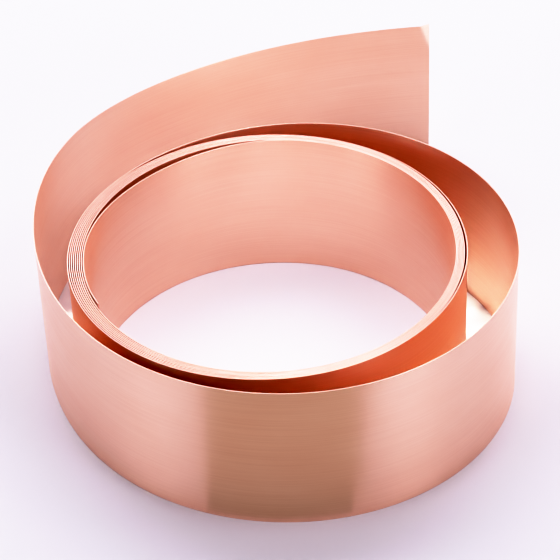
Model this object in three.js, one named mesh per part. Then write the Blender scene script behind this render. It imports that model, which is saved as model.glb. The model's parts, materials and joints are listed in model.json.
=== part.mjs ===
// A coil of bare copper strip, standing on edge on its flat cut edges, with its outer wrap left loose.
// Millimetres, +Z up. The origin is at the middle of the base, under the middle of the object's box.
//
// The strip is one long ribbon. Its tight part is a spiral of turns that lie against each other, and
// each full turn is a mesh. Its loose part springs away from the coil and sweeps round it once more to
// the free end. That part bends as it is wound on or let out, so it is a row of short leaves, each of
// which turns against the one before it about the upright line between them.
//
// "Wound" is how far the strip has gone round inwards from the peel line, in degrees, anticlockwise
// seen from above. "Turned" is how far the loose wrap has turned outwards from that line, clockwise.

import * as THREE from "three";

// ---- The strip ----
const stripWidth = 50;
const stripThickness = 0.3;

// ---- The tight coil ----
const coilRadius = 60.75; // to the outer face, at the peel line
const coilTurns = 8;
const innerEndSweep = 60; // degrees that the strip goes on past its last full turn
const peelBearing = 145; // bearing of the line where the wrap leaves the coil
const tightGap = 0.1; // air between two turns where they lie closest
const innerFree = 240; // degrees of strip, back from its inner end, that can spring inwards

// ---- Where the turns stand apart: over which bearings, in degrees, and by how much more air ----
const looseSide = { bearing: 175, halfWidth: 120, air: 0.2 }; // between every two turns
const outerSplit = { bearing: 5, halfWidth: 60, air: 0.5 }; // behind the outermost turn
const innerSpring = { bearing: 128, halfWidth: 48, air: 2.1 }; // behind the innermost turn
const innerTip = { sweep: 18, air: 0.4 }; // the inner end lifts off by this much

// ---- The loose wrap ----
const leafCount = 14;
// How much wider than the coil's radius the wrap bends: [degrees turned, extra bend radius]. The last
// row is the free end.
const bendSlack = [
  [0, 15.5],
  [90, 4],
  [180, 6.5],
  [240, 11.5],
  [280, 17],
  [320, 48],
  [360, 2],
  [390, 96],
  [413, 154],
];

// ---- Fits and fineness ----
const seamGap = 0.3; // clear gap between two meshes of the same strip
const coilFacet = 6; // degrees
const leafFacets = 8; // along one leaf
const wrapStep = 0.25; // degrees per step when the wrap's bend is added up

const copperColour = 0xf0b5a1;
const leafRoughness = 0.3;
const coilRoughness = 0.36;

const wrapTurn = bendSlack[bendSlack.length - 1][0];
const rad = THREE.MathUtils.degToRad;

// 1 at the middle bearing, falling smoothly to 0 at the half width on either side.
function swell(bearing, { bearing: middle, halfWidth }) {
  const off = Math.abs(THREE.MathUtils.euclideanModulo(bearing - middle + 180, 360) - 180);
  return off < halfWidth ? Math.cos((Math.PI / 2) * (off / halfWidth)) ** 2 : 0;
}

// Radius of the strip's outer face on the tight coil.
function coilFaceRadius(wound) {
  const bearing = peelBearing + wound;
  const end = 360 * coilTurns + innerEndSweep;
  const pitch = stripThickness + tightGap + looseSide.air * swell(bearing, looseSide);
  let radius = coilRadius - (pitch * wound) / 360;
  if (wound >= 360) radius -= outerSplit.air * swell(bearing, outerSplit);
  if (wound > end - innerFree) radius -= innerSpring.air * swell(bearing, innerSpring);
  const intoTip = Math.max(0, 1 - (end - wound) / innerTip.sweep);
  return radius - innerTip.air * intoTip ** 2;
}

// A point on the middle of the strip's thickness, with the direction of its outer face.
function coilPoint(wound) {
  const direction = rad(peelBearing + wound);
  const outward = new THREE.Vector2(Math.cos(direction), Math.sin(direction));
  const middle = outward.clone().multiplyScalar(coilFaceRadius(wound) - stripThickness / 2);
  return { middle, outward };
}

// The two rows of a rising list that a value lies between, and how far it is from one to the other.
function rowsAround(rows, valueOf, value) {
  const found = rows.findIndex((row) => valueOf(row) >= value);
  const next = found < 0 ? rows.length - 1 : Math.max(1, found);
  const [a, b] = [rows[next - 1], rows[next]];
  return { a, b, share: (value - valueOf(a)) / (valueOf(b) - valueOf(a)) };
}

// Bend radius of the wrap, from the list by straight lines between its rows.
function bendRadius(turned) {
  const { a, b, share } = rowsAround(bendSlack, ([angle]) => angle, turned);
  return coilRadius + THREE.MathUtils.lerp(a[1], b[1], share);
}

// The whole wrap as closely spaced points, each with its distance along the strip from the peel line.
function traceWrap() {
  const steps = Math.round(wrapTurn / wrapStep);
  const stepTurn = wrapTurn / steps;
  const start = coilPoint(0);
  const points = [{ ...start, along: 0 }];
  const place = start.middle.clone();
  let along = 0;
  for (let i = 0; i < steps; i++) {
    const halfway = (i + 0.5) * stepTurn;
    const heading = rad(peelBearing - 90 - halfway);
    const length = bendRadius(halfway) * rad(stepTurn);
    place.x += length * Math.cos(heading);
    place.y += length * Math.sin(heading);
    along += length;
    const facing = rad(peelBearing - (i + 1) * stepTurn);
    const outward = new THREE.Vector2(Math.cos(facing), Math.sin(facing));
    points.push({ middle: place.clone(), outward, along });
  }
  return points;
}

const wrapTrace = traceWrap();
const wrapLength = wrapTrace[wrapTrace.length - 1].along;

function wrapPoint(along) {
  const { a, b, share } = rowsAround(wrapTrace, (point) => point.along, along);
  return {
    middle: a.middle.clone().lerp(b.middle, share),
    outward: a.outward.clone().lerp(b.outward, share).normalize(),
  };
}

// A length of strip on edge: its outline in plan, pulled up to the strip's width.
function stripMesh(name, stations, roughness) {
  const face = (side) =>
    stations.map(({ middle, outward }) =>
      middle.clone().addScaledVector(outward, (side * stripThickness) / 2),
    );
  const outline = new THREE.Shape([...face(1), ...face(-1).reverse()]);
  const geometry = new THREE.ExtrudeGeometry(outline, {
    depth: stripWidth,
    bevelEnabled: false,
  });
  const material = new THREE.MeshStandardMaterial({
    color: copperColour,
    metalness: 1,
    roughness,
  });
  const mesh = new THREE.Mesh(geometry, material);
  mesh.name = name;
  return mesh;
}

function evenly(from, to, count, make) {
  return Array.from({ length: count + 1 }, (_, i) => make(from + ((to - from) * i) / count));
}

// One stretch of the tight coil, cut back at each end by half the seam gap.
function coilLength(name, from, to) {
  const trim = THREE.MathUtils.radToDeg(seamGap / 2 / coilRadius);
  const stations = evenly(from, to, Math.round((to - from) / coilFacet), coilPoint);
  stations[0] = coilPoint(from + trim);
  stations[stations.length - 1] = coilPoint(to - trim);
  return stripMesh(name, stations, coilRoughness);
}

function buildCoil() {
  const coil = new THREE.Group();
  for (let turn = 1; turn <= coilTurns; turn++) {
    coil.add(coilLength(`coil_turn_${turn}`, 360 * (turn - 1), 360 * turn));
  }
  const lastTurn = 360 * coilTurns;
  coil.add(coilLength("inner_end", lastTurn, lastTurn + innerEndSweep));
  return coil;
}

// The leaves are numbered outwards from the peel line. The last one ends in the strip's cut end.
function buildWrap() {
  const wrap = new THREE.Group();
  const leafLength = wrapLength / leafCount;
  for (let leaf = 1; leaf <= leafCount; leaf++) {
    const isLast = leaf === leafCount;
    const from = leafLength * (leaf - 1) + seamGap / 2;
    const to = leafLength * leaf - (isLast ? 0 : seamGap / 2);
    const name = isLast ? "free_end_leaf" : `wrap_leaf_${String(leaf).padStart(2, "0")}`;
    wrap.add(stripMesh(name, evenly(from, to, leafFacets, wrapPoint), leafRoughness));
  }
  return wrap;
}

const copperCoil = new THREE.Group();
copperCoil.add(buildCoil(), buildWrap());

// The origin goes under the middle of the whole object's box.
const box = new THREE.Box3().setFromObject(copperCoil);
const centre = box.getCenter(new THREE.Vector3());
copperCoil.children.forEach((group) => group.position.set(-centre.x, -centre.y, 0));

export default copperCoil;
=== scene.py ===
"""A coil of bare copper strip on edge, its outer wrap sprung loose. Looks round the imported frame."""
import json
import math

import bmesh
import bpy
import numpy as np
from mathutils import Matrix, Vector


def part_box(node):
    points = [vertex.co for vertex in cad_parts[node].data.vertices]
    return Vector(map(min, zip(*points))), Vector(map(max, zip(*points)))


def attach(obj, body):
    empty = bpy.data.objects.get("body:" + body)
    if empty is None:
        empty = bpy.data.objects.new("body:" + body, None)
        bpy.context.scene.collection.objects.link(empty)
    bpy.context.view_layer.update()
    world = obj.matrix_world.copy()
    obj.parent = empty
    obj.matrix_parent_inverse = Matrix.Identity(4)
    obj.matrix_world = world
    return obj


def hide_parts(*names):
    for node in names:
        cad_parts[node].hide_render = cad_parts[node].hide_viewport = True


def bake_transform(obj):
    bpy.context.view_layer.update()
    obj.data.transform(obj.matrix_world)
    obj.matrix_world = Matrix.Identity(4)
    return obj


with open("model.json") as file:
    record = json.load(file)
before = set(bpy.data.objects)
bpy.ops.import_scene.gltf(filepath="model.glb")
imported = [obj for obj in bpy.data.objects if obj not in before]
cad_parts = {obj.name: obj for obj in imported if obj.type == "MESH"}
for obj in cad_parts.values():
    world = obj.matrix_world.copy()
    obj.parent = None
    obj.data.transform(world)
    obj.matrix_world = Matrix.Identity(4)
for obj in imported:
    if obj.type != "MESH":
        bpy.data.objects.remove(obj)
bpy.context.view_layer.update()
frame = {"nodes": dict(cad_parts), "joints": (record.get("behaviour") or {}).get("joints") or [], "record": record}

MM = 0.001

# ---- The frame's names ----
BODIES = frame["record"]["behaviour"]["bodies"]
COIL_NODES = BODIES["coil"]  # from the outermost turn inwards, then the inner end
WRAP_BODIES = [joint["child"] for joint in frame["joints"]]  # from the peel line outwards
WRAP_NODES = [BODIES[body][0] for body in WRAP_BODIES]

# ---- The strip's section, and how finely the strip is drawn ----
MERGE = 0.002 * MM  # CAD corners closer than this are one
EDGE_ROUND = 0.06 * MM  # the slitting knives round each corner by this much
EDGE_SUPPORT = 0.25 * MM  # the first row of each face, which keeps the rounding's shading by the edge
FACE_ROWS = 24  # across the strip's width
STEP_COIL = 2.0 * MM  # along the tight coil
STEP_WRAP = 1.0 * MM  # along the loose wrap
STEP_END = STEP_WRAP / 2  # along the free end

# ---- The edges of a bent strip curl outwards, within a few millimetres ----
CURL_RADIUS = 75 * MM  # one bend radius stands for them all
CURL_REACH = 0.78  # in square roots of that radius times the thickness
CURL_RISE = 0.045 * MM

# ---- The tight turns don't stand quite level ----
LIFT_MOST = 0.16 * MM
LIFT_TURN = 2 * math.pi * 60 * MM  # about one turn's length
LIFT_FADE = 0.6  # of a turn, inwards from the peel line, which is level
LIFT_WAVES = (0.37, 1.0), (0.61, 0.4)  # two waves: how many in a turn, and the start in radians

# ---- The innermost turn leans: its top has sprung inwards ----
TURN_AIR = 0.12 * MM  # what is left between two turns where they touch
LEAN_TURNS = 0.75  # it leans for this much of a turn from the inner end
LEAN_FADE = 0.1  # and this much of a turn takes it back upright

# ---- The free end's top corner is knocked back ----
CORNER_REACH, CORNER_DROP = 3.2 * MM, 9.0 * MM  # the bent triangle, along the strip and down its end
CORNER_LEAN = 0.4  # how steeply it leans outwards

# ---- The copper. A scale is in waves a metre, along the strip and across it ----
FACE_LIGHT, FACE_DARK = (0.96, 0.685, 0.555, 1), (0.935, 0.645, 0.515, 1)
FACE_ROUGH, FACE_SPREAD, FACE_STRETCH = 0.36, 0.03, 0.75
CUT_LIGHT, CUT_DARK = (0.90, 0.60, 0.51, 1), (0.80, 0.50, 0.41, 1)
CUT_ROUGH, CUT_SPREAD, CUT_STRETCH = 0.4, 0.05, 0.0
GRAIN_SCALE, GRAIN_DETAIL = (25.0, 2600.0, 1.0), 3.0
BANDS_SCALE, BANDS_DETAIL = (6.0, 420.0, 1.0), 2.0
STAINS_SCALE, STAINS_DETAIL = (38.0, 55.0, 1.0), 4.0
NOISE_LOW, NOISE_HIGH = 0.3, 0.7  # most of a noise lies between these
GRAIN_TINT = (0.95, 0.93, 0.92, 1)
GRAIN_BUMP, GRAIN_DEPTH = 0.06, 0.02 * MM
QUARTER_TURN = 0.25
RUB_LINE = 46.6 * MM  # a faint line rolled along the outer face, this far up from its base
RUB_WIDTH = 0.6 * MM  # on either side of its middle
RUB_HEIGHT = 3.0  # in heights of the grain
MIX_FACTOR, MIX_A, MIX_B, MIX_RESULT = 0, 6, 7, 2  # sockets of a Mix node that mixes colours

# ---- Camera and floor ----
CAMERA_PLACE = Vector((1.5, -578.2, 472.6)) * MM
CAMERA_DOWN, CAMERA_LEAN = 38.3, -2.5  # degrees
CAMERA_SENSOR, CAMERA_LENS = 36.0, 147.3  # millimetres
CAMERA_NEAR = 0.01
FLOOR_RADIUS, FLOOR_SIDES = 4.0, 96
FLOOR_COLOUR = (0.80, 0.79, 0.83, 1)
FLOOR_ROUGH, FLOOR_SHINE = 0.9, 0.2

# ---- Light ----
LEVEL = 0.48  # scales every light, so that the brightest tones lie within the tone curve
COOL, WARM = (1.0, 0.965, 1.075), (1.0, 0.87, 0.7)  # WARM is the light inside the wrap
# Softboxes: size in metres, azimuth and elevation in degrees, radiance. Azimuth 0 is in front, and
# positive is to the right.
SOFTBOXES = {
    "key": ((2.2, 1.2), 182, 55, 3.2),
    "back_left": ((0.7, 0.5), 212, 32, 3.4),
    "back_right": ((1.9, 0.5), 134, 14, 3.3),
    "overhead": ((0.2, 0.2), 0, 90, 16.0),
    "right_panel": ((0.6, 0.7), 50, 15, 4.8),
    "left_panel": ((0.6, 0.7), -61, 16, 4.4),
    "high_right": ((0.9, 0.6), 72, 55, 3.0),
    "high_left": ((0.9, 0.6), -82, 60, 1.6),
}
SOFTBOX_DISTANCE = 1.5
# Spots straight down: place on the floor from the coil's axis, radius, softness of the rim, power.
BEAM = (0.002, 0.002, 0.069, 0.06, 11.0)  # over the eye
TAIL_LIGHT = (-0.012, 0.088, 0.030, 0.6, 8.0)  # over the free end
SPOT_HEIGHT, SPOT_SIZE = 0.8, 0.002
LEAST_CONE = math.radians(0.5)  # half of a spot's narrowest cone
GAP_BEARINGS = [*range(-126, 91, 8), *range(156, 234, 8)]  # where the wrap stands clear of the coil
GAP_POWER, GAP_HEIGHT, GAP_SOFT = 5.0, 0.35, 0.2
NEARBY = math.radians(3)  # the strip this near to a bearing counts as standing on it
WORLD_COLOUR, WORLD_STRENGTH = (0.97, 0.97, 1.0, 1), 0.05
MOST_BOUNCES, GLOSSY_BOUNCES = 14, 12

# ---- The dark card in front, a glowing sheet that paints shade into the copper's reflections. Its foot follows the wrap, and it fans out from a point ahead of the axis ----
CARD_AHEAD = 40 * MM
CARD_SIDES, CARD_STEPS = (-44, 39), 24  # bearings in degrees, 0 in front
CARD_CLEAR = 1.5 * MM  # from the strip's middle to the card's foot
CARD_FLOOR = 0.2 * MM
CARD_FAR, CARD_TALL = 1.2, 1.6
CARD_GAPS = (0.0, 0.015, 0.04)  # rings on the floor, out from the foot
CARD_PAINTED_SHADOW = (0.55, 0.8, 1.0, 1.0, 1.0)  # painted shadow: the glow of each ring, outwards and then at the top, dimmest at the wrap's foot
CARD_TINT = (1.0, 0.89, 0.86)
CARD_GLOW = 0.7

# ---- The tone curve ----
TOE, CONTRAST, SHOULDER = 0.07, 1.5, 4.0
NEAR_WHITE = 0.4  # a light of this strength is shown nearly white
CURVE_STOPS = [0.0, 0.014, 0.03, 0.06, 0.12, 0.2, 0.3, 0.4, 0.5, 0.65, 0.8, 1.0]
COMBINED = 3  # the curve for all three colours


# ======================================================================
# The strip's line in plan, read off the frame
# ======================================================================


def outline(node):
    """The CAD node's outline in plan, in order round it, in metres."""
    bm = bmesh.new()
    bm.from_mesh(frame["nodes"][node].data)
    bmesh.ops.remove_doubles(bm, verts=bm.verts, dist=MERGE)
    bm.verts.ensure_lookup_table()
    top = max(v.co.z for v in bm.verts)
    links = {}
    for edge in bm.edges:
        a, b = edge.verts
        on_top = min(a.co.z, b.co.z) > top - MERGE
        on_side = any(abs(face.normal.z) < 0.5 for face in edge.link_faces)
        if on_top and on_side:
            links.setdefault(a.index, []).append(b.index)
            links.setdefault(b.index, []).append(a.index)
    first = min(links)
    ring = [first]
    before, here = None, first
    while True:
        after = next(i for i in links[here] if i != before)
        if after == first:
            break
        ring.append(after)
        before, here = here, after
    points = np.array([bm.verts[i].co[:2] for i in ring], float)
    bm.free()
    return points


def middle_line(node):
    """The middle of the strip's thickness along one CAD node, from end to end, and that thickness."""
    ring = outline(node)
    half = len(ring) // 2
    side = np.linalg.norm(np.roll(ring, -1, axis=0) - ring, axis=1)
    ring = np.roll(ring, -(int(np.argmin(side)) + 1), axis=0)
    return (ring[:half] + ring[::-1][:half]) / 2, float(side.min())


def whole_line():
    """The strip's middle line from its inner end to its free end, the point on it where each node after
    the first begins, and the strip's thickness."""
    order = COIL_NODES[::-1] + WRAP_NODES
    lengths = [middle_line(node) for node in order]
    line, following = lengths[0][0], lengths[1][0]
    ends = [min(np.linalg.norm(line[i] - following[j]) for j in (0, -1)) for i in (0, -1)]
    if ends[1] >= ends[0]:
        line = line[::-1]
    starts = {}
    for node, (length, _) in zip(order[1:], lengths[1:]):
        heading = line[-1] - line[-2]
        options = [length, length[::-1]]
        options = [p for p in options if np.dot(p[1] - p[0], heading) > 0] or options
        length = min(options, key=lambda p: np.linalg.norm(p[0] - line[-1]))
        starts[node] = len(line) - 1
        seam = (line[-1] + length[0]) / 2  # the clear gap between two nodes closes to one point
        line = np.concatenate([line[:-1], [seam], length[1:]])
    return line, starts, lengths[-1][1]


class Line:
    """A smooth curve through points in plan: a natural cubic spline, read by distance along it."""

    def __init__(self, points):
        steps = np.diff(points, axis=0)
        self.knots = np.concatenate([[0.0], np.cumsum(np.linalg.norm(steps, axis=1))])
        self.points = points
        gap = np.diff(self.knots)
        count = len(points)
        matrix = np.eye(count)
        right = np.zeros((count, 2))
        slope = steps / gap[:, None]
        for i in range(1, count - 1):
            matrix[i, i - 1 : i + 2] = gap[i - 1], 2 * (gap[i - 1] + gap[i]), gap[i]
            right[i] = 6 * (slope[i] - slope[i - 1])
        self.bend = np.linalg.solve(matrix, right)
        self.length = float(self.knots[-1])

    def at(self, along):
        """Places and unit directions at these distances."""
        along = np.atleast_1d(along)
        i = np.clip(np.searchsorted(self.knots, along, side="right") - 1, 0, len(self.knots) - 2)
        gap = (self.knots[i + 1] - self.knots[i])[:, None]
        b = (along - self.knots[i])[:, None] / gap
        a = 1 - b
        p, q = self.points[i], self.points[i + 1]
        m, n = self.bend[i], self.bend[i + 1]
        place = a * p + b * q + ((a**3 - a) * m + (b**3 - b) * n) * gap**2 / 6
        direction = (q - p) / gap + ((3 * b**2 - 1) * n - (3 * a**2 - 1) * m) * gap / 6
        return place, direction / np.linalg.norm(direction, axis=1)[:, None]


def outwards(direction):
    """Unit vectors to the outer side of the strip, square to its directions."""
    return np.stack([-direction[:, 1], direction[:, 0]], axis=1)


LINE_POINTS, START_POINTS, THICKNESS = whole_line()
LINE = Line(LINE_POINTS)
STARTS = {node: float(LINE.knots[i]) for node, i in START_POINTS.items()}
PEEL = STARTS[WRAP_NODES[0]]
COIL_LOW, COIL_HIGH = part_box(COIL_NODES[0])
WIDTH = COIL_HIGH.z - COIL_LOW.z
EYE = frame["record"]["physics"]["openings"][0]["box_m"]
AXIS = (np.array(EYE[0][:2]) + np.array(EYE[1][:2])) / 2  # the tight coil's own axis in plan


# ======================================================================
# The strip's surface
# ======================================================================


def section():
    """The strip's section: (outwards from its middle, height) once round it, from the base of the outer
    face, and which of its sides belong to the cut edges."""
    t, r, s = THICKNESS / 2, EDGE_ROUND, EDGE_SUPPORT
    rows = [s + (WIDTH - 2 * s) * i / FACE_ROWS for i in range(1, FACE_ROWS)]
    heights = [r, s, *rows, WIDTH - s, WIDTH - r]
    corner = r * (1 - math.sqrt(0.5))
    outer = [(t, h) for h in heights]
    top = [(t - corner, WIDTH - corner), (t - r, WIDTH), (r - t, WIDTH), (corner - t, WIDTH - corner)]
    inner = [(-t, h) for h in heights[::-1]]
    base = [(corner - t, corner), (r - t, 0.0), (t - r, 0.0), (t - corner, corner)]
    ring = np.array(outer + top + inner + base)
    edge = np.zeros(len(ring), bool)
    edge[len(outer) - 1 : len(outer) + len(top)] = True
    edge[len(outer) + len(top) + len(inner) - 1 :] = True
    return ring, edge


RING, IS_EDGE = section()
GIRTH = np.concatenate([[0.0], np.cumsum(np.linalg.norm(np.roll(RING, -1, axis=0) - RING, axis=1))])


def edge_curl(height):
    """How far outwards the strip stands at this height, because it is bent."""
    reach = CURL_REACH * np.sqrt(CURL_RADIUS * THICKNESS)
    low = np.exp(-height / reach) * np.cos(height / reach)
    high = np.exp(-(WIDTH - height) / reach) * np.cos((WIDTH - height) / reach)
    return CURL_RISE * (low + high)


def strip_points(along, lift, shift):
    """The strip's corners, one ring for each distance along it. lift(along) is how far it is raised, and
    shift(along, height) how far it is moved outwards."""
    place, direction = LINE.at(along)
    across, height = RING[:, 0], RING[:, 1]
    out = np.repeat((across + edge_curl(height))[None, :], len(along), axis=0)
    up = np.repeat(height[None, :], len(along), axis=0)
    if shift is not None:
        out = out + shift(along[:, None], height[None, :])
    if lift is not None:
        up = up + lift(along)[:, None]
    xy = place[:, None, :] + outwards(direction)[:, None, :] * out[:, :, None]
    return np.concatenate([xy, up[:, :, None]], axis=2).reshape(-1, 3)


def strip_piece(name, begin, end, step, lift=None, shift=None):
    """A length of the strip as one closed mesh, from one distance along its line to another. Its U is the
    distance along the strip, and its V the way round the section."""
    count = max(2, int(round((end - begin) / step)))
    along = np.linspace(begin, end, count + 1)
    n = len(RING)
    faces, materials, uv = [], [], []
    for j in range(count):
        u0, u1 = along[j], along[j + 1]
        for k in range(n):
            k2 = (k + 1) % n
            v0, v1 = GIRTH[k], GIRTH[k + 1]
            faces.append((j * n + k, (j + 1) * n + k, (j + 1) * n + k2, j * n + k2))
            materials.append(int(IS_EDGE[k]))
            uv += [(u0, v0), (u1, v0), (u1, v1), (u0, v1)]
    faces.append(tuple(range(n)))
    faces.append(tuple(count * n + k for k in reversed(range(n))))
    materials += [1, 1]
    uv += [(along[0], GIRTH[k]) for k in range(n)]
    uv += [(along[-1], GIRTH[k]) for k in reversed(range(n))]
    mesh = bpy.data.meshes.new(name)
    mesh.from_pydata(strip_points(along, lift, shift).tolist(), [], faces)
    layer = mesh.uv_layers.new(name="UVMap")
    layer.data.foreach_set("uv", np.array(uv, np.float32).ravel())
    mesh.polygons.foreach_set("material_index", materials)
    mesh.polygons.foreach_set("use_smooth", [True] * (len(faces) - 2) + [False, False])
    mesh.update()
    ends = set(range(n)) | set(range(count * n, (count + 1) * n))
    for edge in mesh.edges:
        a, b = edge.vertices
        edge.use_edge_sharp = a in ends and b in ends and abs(a - b) < n
    piece = bpy.data.objects.new(name, mesh)
    bpy.context.scene.collection.objects.link(piece)
    return piece


# ======================================================================
# Materials
# ======================================================================


def new_material(name):
    material = bpy.data.materials.new(name)
    material.use_nodes = True
    return material, material.node_tree, material.node_tree.nodes["Principled BSDF"]


def copper(name, light, dark, roughness, spread, stretch):
    """Bright rolled copper: a fine grain along the strip, soft stains, bands of roughness and one faint
    line."""
    material, tree, shader = new_material(name)
    shader.inputs["Metallic"].default_value = 1.0
    shader.inputs["Anisotropic"].default_value = stretch
    shader.inputs["Anisotropic Rotation"].default_value = QUARTER_TURN
    link = tree.links.new

    def add(kind, values):
        made = tree.nodes.new(kind)
        for socket, value in values.items():
            made.inputs[socket].default_value = value
        return made

    def noise(label, scale, detail):
        mapping = add("ShaderNodeMapping", {"Scale": scale})
        texture = add("ShaderNodeTexNoise", {"Scale": 1.0, "Detail": detail})
        texture.label = label
        link(coordinates.outputs["UV"], mapping.inputs["Vector"])
        link(mapping.outputs["Vector"], texture.inputs["Vector"])
        return texture.outputs["Fac"]

    def spread_to(value, low, high, from_low=NOISE_LOW, from_high=NOISE_HIGH):
        values = {"From Min": from_low, "From Max": from_high, "To Min": low, "To Max": high}
        ranged = add("ShaderNodeMapRange", values)
        link(value, ranged.inputs["Value"])
        return ranged.outputs["Result"]

    def mix(factor, values, blend="MIX"):
        mixed = tree.nodes.new("ShaderNodeMix")
        mixed.data_type = "RGBA"
        mixed.blend_type = blend
        for socket, value in values.items():
            mixed.inputs[socket].default_value = value
        link(factor, mixed.inputs[MIX_FACTOR])
        return mixed

    def calculate(operation, values=None):
        made = add("ShaderNodeMath", values or {})
        made.operation = operation
        return made

    coordinates = tree.nodes.new("ShaderNodeTexCoord")
    tangent = tree.nodes.new("ShaderNodeTangent")
    tangent.direction_type = "UV_MAP"
    tangent.uv_map = "UVMap"
    link(tangent.outputs["Tangent"], shader.inputs["Tangent"])
    grain = noise("grain", GRAIN_SCALE, GRAIN_DETAIL)
    bands = noise("bands", BANDS_SCALE, BANDS_DETAIL)
    stains = noise("stains", STAINS_SCALE, STAINS_DETAIL)

    tone = mix(spread_to(stains, 0.0, 1.0), {MIX_A: light, MIX_B: dark})
    fine = mix(spread_to(grain, 0.0, 1.0), {MIX_B: GRAIN_TINT}, "MULTIPLY")
    link(tone.outputs[MIX_RESULT], fine.inputs[MIX_A])
    link(fine.outputs[MIX_RESULT], shader.inputs["Base Color"])
    link(spread_to(bands, roughness - spread, roughness + spread), shader.inputs["Roughness"])

    split = tree.nodes.new("ShaderNodeSeparateXYZ")
    link(coordinates.outputs["UV"], split.inputs["Vector"])
    off = calculate("SUBTRACT", {1: RUB_LINE})
    link(split.outputs["Y"], off.inputs[0])
    distance = calculate("ABSOLUTE")
    link(off.outputs["Value"], distance.inputs[0])
    height = calculate("ADD")
    link(grain, height.inputs[0])
    link(spread_to(distance.outputs["Value"], RUB_HEIGHT, 0.0, 0.0, RUB_WIDTH), height.inputs[1])
    bump = add("ShaderNodeBump", {"Strength": GRAIN_BUMP, "Distance": GRAIN_DEPTH})
    link(height.outputs["Value"], bump.inputs["Height"])
    link(bump.outputs["Normal"], shader.inputs["Normal"])
    return material


FACE = copper("rolled_copper", FACE_LIGHT, FACE_DARK, FACE_ROUGH, FACE_SPREAD, FACE_STRETCH)
EDGE = copper("slit_edge", CUT_LIGHT, CUT_DARK, CUT_ROUGH, CUT_SPREAD, CUT_STRETCH)


def finish_piece(piece, *nodes):
    piece.data.materials.append(FACE)
    piece.data.materials.append(EDGE)
    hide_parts(*nodes)


# ======================================================================
# The pieces
# ======================================================================


def turn_lift(along):
    """Each tight turn is raised a little, by a wave along the strip."""
    turns = (PEEL - along) / LIFT_TURN
    fade = np.clip(turns / LIFT_FADE, 0, 1)
    (slow, slow_start), (quick, quick_start) = LIFT_WAVES
    angle = 2 * math.pi * turns
    wave = 0.5 + 0.5 * np.sin(angle * slow + slow_start) * np.cos(angle * quick + quick_start)
    return LIFT_MOST * fade * wave


def bearing_and_radius():
    """The coil's bearing and radius about its own axis, all along the strip from the inner end."""
    along = np.arange(0.0, PEEL + MM, MM)
    place = LINE.at(along)[0] - AXIS
    return along, np.unwrap(np.arctan2(place[:, 1], place[:, 0])), np.hypot(place[:, 0], place[:, 1])


COIL_PATH = bearing_and_radius()


def inner_lean(along, height):
    """The innermost turn's base goes out to the turn behind it, and its top stays where the CAD has it."""
    distance, bearing, radius = COIL_PATH
    here = np.interp(along, distance, bearing)
    sense = np.sign(bearing[-1] - bearing[0])
    behind = np.interp(sense * (here + sense * 2 * math.pi), sense * bearing, radius)
    air = np.clip(behind - np.interp(along, distance, radius) - THICKNESS - TURN_AIR, 0, None)
    turns = abs(here - bearing[0]) / (2 * math.pi)
    fade = np.clip((LEAN_TURNS - turns) / LEAN_FADE, 0, 1)
    return air * fade * (1 - height / WIDTH)


def bent_corner(along, height):
    """A small triangle at the free end's top corner leans outwards from a slanting fold."""
    inside = 1 - (LINE.length - along) / CORNER_REACH - (WIDTH - height) / CORNER_DROP
    return CORNER_LEAN * np.clip(inside, 0, None) * CORNER_REACH


def build_coil():
    piece = strip_piece("tight_coil", 0.0, PEEL, STEP_COIL, lift=turn_lift, shift=inner_lean)
    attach(piece, "coil")
    finish_piece(piece, *COIL_NODES)


def build_wrap():
    """The loose wrap, in lengths from the middle of one leaf to the middle of the next. The last half leaf is the
    free end."""
    lines = [STARTS[node] for node in WRAP_NODES] + [LINE.length]
    middles = [(a + b) / 2 for a, b in zip(lines, lines[1:])]
    for i, body in enumerate(WRAP_BODIES):
        begin = lines[0] if i == 0 else middles[i - 1]
        piece = strip_piece(f"loose_wrap_{i + 1:02d}", begin, middles[i], STEP_WRAP)
        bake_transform(piece)
        finish_piece(piece, WRAP_NODES[i])
    piece = strip_piece("free_end", middles[-1], lines[-1], STEP_END, shift=bent_corner)
    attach(piece, WRAP_BODIES[-1])
    finish_piece(piece, WRAP_NODES[-1])


build_coil()
build_wrap()


# ======================================================================
# Camera, floor and light
# ======================================================================


def add_camera():
    """Seen from in front and above, with a slight lean."""
    data = bpy.data.cameras.new("camera")
    data.sensor_width = CAMERA_SENSOR
    data.lens = CAMERA_LENS
    data.clip_start = CAMERA_NEAR
    camera = bpy.data.objects.new("camera", data)
    down = Matrix.Rotation(math.radians(90) - math.radians(CAMERA_DOWN), 3, "X")
    turn = down @ Matrix.Rotation(math.radians(CAMERA_LEAN), 3, "Z")
    camera.matrix_world = Matrix.Translation(CAMERA_PLACE) @ turn.to_4x4()
    bpy.context.scene.collection.objects.link(camera)
    bpy.context.scene.camera = camera


def add_floor():
    mesh = bpy.data.meshes.new("floor")
    bm = bmesh.new()
    bmesh.ops.create_circle(bm, cap_ends=True, radius=FLOOR_RADIUS, segments=FLOOR_SIDES)
    bm.to_mesh(mesh)
    bm.free()
    floor = bpy.data.objects.new("floor", mesh)
    material, _, shader = new_material("white_sweep")
    shader.inputs["Base Color"].default_value = FLOOR_COLOUR
    shader.inputs["Roughness"].default_value = FLOOR_ROUGH
    shader.inputs["Specular IOR Level"].default_value = FLOOR_SHINE
    mesh.materials.append(material)
    bpy.context.scene.collection.objects.link(floor)


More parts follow.
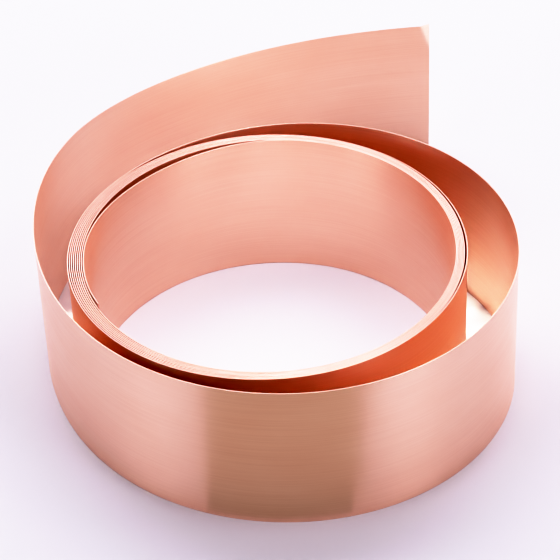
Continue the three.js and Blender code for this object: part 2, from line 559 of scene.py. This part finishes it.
def card_rings():
    """The dark card's corners: rings on the floor out from the wrap, the far one last, then its top."""
    apex = np.array([AXIS[0], AXIS[1] - CARD_AHEAD])
    begin, end = (math.radians(side) for side in CARD_SIDES)
    angles = [begin + (end - begin) * i / CARD_STEPS for i in range(CARD_STEPS + 1)]
    place, direction = LINE.at(np.arange(PEEL, LINE.length, MM))
    foot = place + outwards(direction) * CARD_CLEAR
    bearing = np.arctan2(foot[:, 0] - apex[0], apex[1] - foot[:, 1])
    reach = np.linalg.norm(foot - apex, axis=1)
    near = [reach[np.abs(bearing - angle) < NEARBY].max() for angle in angles]
    radii = [[radius + gap for radius in near] for gap in CARD_GAPS] + [[CARD_FAR] * len(angles)]
    rings = []
    for ring in radii:
        sides = [(apex[0] + r * math.sin(a), apex[1] - r * math.cos(a)) for r, a in zip(ring, angles)]
        rings.append([(x, y, CARD_FLOOR) for x, y in sides])
    rings.append([(x, y, CARD_TALL) for x, y, _ in rings[-1]])
    return rings


def add_dark_side():
    """A glowing card of painted shade: it stands for the unlit side of the studio in front of the object and for
    the floor's shadow by the wrap, and only the copper sees it.
    """
    rings = card_rings()
    n = len(rings[0])
    faces = []
    for r in range(len(rings) - 1):
        for i in range(n - 1):
            faces.append((r * n + i, r * n + i + 1, r * n + n + i + 1, r * n + n + i))
    mesh = bpy.data.meshes.new("dark_side")
    mesh.from_pydata([corner for ring in rings for corner in ring], [], faces)
    glow = mesh.color_attributes.new("glow", "FLOAT_COLOR", "POINT")
    # painted shadow on the card: each ring glows dimmer nearer the wrap's foot
    for r, shade in enumerate(CARD_PAINTED_SHADOW):
        for i in range(n):
            glow.data[r * n + i].color = (*(shade * tint for tint in CARD_TINT), 1)
    material, tree, shader = new_material("dark_card")
    shader.inputs["Base Color"].default_value = (0, 0, 0, 1)
    shader.inputs["Specular IOR Level"].default_value = 0.0
    shader.inputs["Emission Strength"].default_value = LEVEL * CARD_GLOW
    attribute = tree.nodes.new("ShaderNodeAttribute")
    attribute.attribute_name = "glow"
    tree.links.new(attribute.outputs["Color"], shader.inputs["Emission Color"])
    mesh.materials.append(material)
    card = bpy.data.objects.new("dark_side", mesh)
    bpy.context.scene.collection.objects.link(card)
    card.visible_camera = False
    card.visible_diffuse = False
    card.visible_shadow = False
    card.visible_transmission = False


def add_softbox(name, size, azimuth, elevation, radiance):
    """An area light that faces the object."""
    data = bpy.data.lights.new(name, "AREA")
    data.shape = "RECTANGLE"
    data.size, data.size_y = size
    data.energy = LEVEL * radiance * math.pi * size[0] * size[1]
    data.color = COOL
    light = bpy.data.objects.new(name, data)
    az, el = math.radians(azimuth), math.radians(elevation)
    away = Vector((math.sin(az) * math.cos(el), -math.cos(az) * math.cos(el), math.sin(el)))
    light.location = Vector((AXIS[0], AXIS[1], WIDTH / 2)) + away * SOFTBOX_DISTANCE
    light.rotation_euler = away.to_track_quat("Z", "Y").to_euler()
    light.visible_camera = False
    bpy.context.scene.collection.objects.link(light)


def add_spot(name, x, y, radius, softness, power, height=SPOT_HEIGHT, colour=COOL):
    """A round light straight down on a place on the floor, given from the coil's axis."""
    data = bpy.data.lights.new(name, "SPOT")
    data.energy = LEVEL * power
    data.color = colour
    data.spot_size = 2 * math.atan(radius / height)
    data.spot_blend = softness
    data.shadow_soft_size = SPOT_SIZE
    light = bpy.data.objects.new(name, data)
    light.location = (AXIS[0] + x, AXIS[1] + y, height)
    light.visible_camera = False
    bpy.context.scene.collection.objects.link(light)


def add_gap_light(bearing):
    """A narrow light straight down into the gap between the coil and its wrap, as wide as the gap is at
    this bearing. Where the gap is too narrow for a spot's cone, the light hangs lower and is weaker."""
    way = np.array([math.cos(math.radians(bearing)), math.sin(math.radians(bearing))])
    place = LINE.at(np.arange(PEEL, LINE.length, MM))[0] - AXIS
    reach = np.hypot(place[:, 0], place[:, 1])
    wrap = reach[place @ way > reach * math.cos(NEARBY)].min()
    coil = COIL_HIGH.x - AXIS[0]
    x, y = way * (coil + wrap) / 2
    half = float(wrap - coil) / 2
    height = min(GAP_HEIGHT, half / math.tan(LEAST_CONE))
    power = GAP_POWER * (height / GAP_HEIGHT) ** 2
    add_spot(f"gap_light_{bearing}", x, y, half, GAP_SOFT, power, height, WARM)


def add_world():
    world = bpy.data.worlds.new("studio")
    bpy.context.scene.world = world
    world.use_nodes = True
    background = world.node_tree.nodes["Background"]
    background.inputs["Color"].default_value = WORLD_COLOUR
    background.inputs["Strength"].default_value = LEVEL * WORLD_STRENGTH


def add_lights():
    for name, (size, azimuth, elevation, radiance) in SOFTBOXES.items():
        add_softbox(name, size, azimuth, elevation, radiance)
    add_spot("beam", *BEAM)
    for bearing in GAP_BEARINGS:
        add_gap_light(bearing)
    add_spot("tail_light", *TAIL_LIGHT)
    add_world()
    bpy.context.scene.cycles.glossy_bounces = GLOSSY_BOUNCES
    bpy.context.scene.cycles.max_bounces = MOST_BOUNCES


def shown(light):
    """The tone that a light is shown as: a photograph's contrast, which eases off below white."""
    steep = max(light / NEAR_WHITE - TOE, 0.0) ** CONTRAST
    return steep / (1 + steep**SHOULDER) ** (1 / SHOULDER)


def set_tone_curve():
    view = bpy.context.scene.view_settings
    view.view_transform = "Standard"
    view.use_curve_mapping = True
    mapping = view.curve_mapping
    mapping.extend = "HORIZONTAL"
    first, *between, last = [(light, shown(light)) for light in CURVE_STOPS]
    points = mapping.curves[COMBINED].points
    points[0].location, points[1].location = first, last
    for light, tone in between:
        points.new(light, tone)
    mapping.update()


add_camera()
add_floor()
add_dark_side()
add_lights()
set_tone_curve()
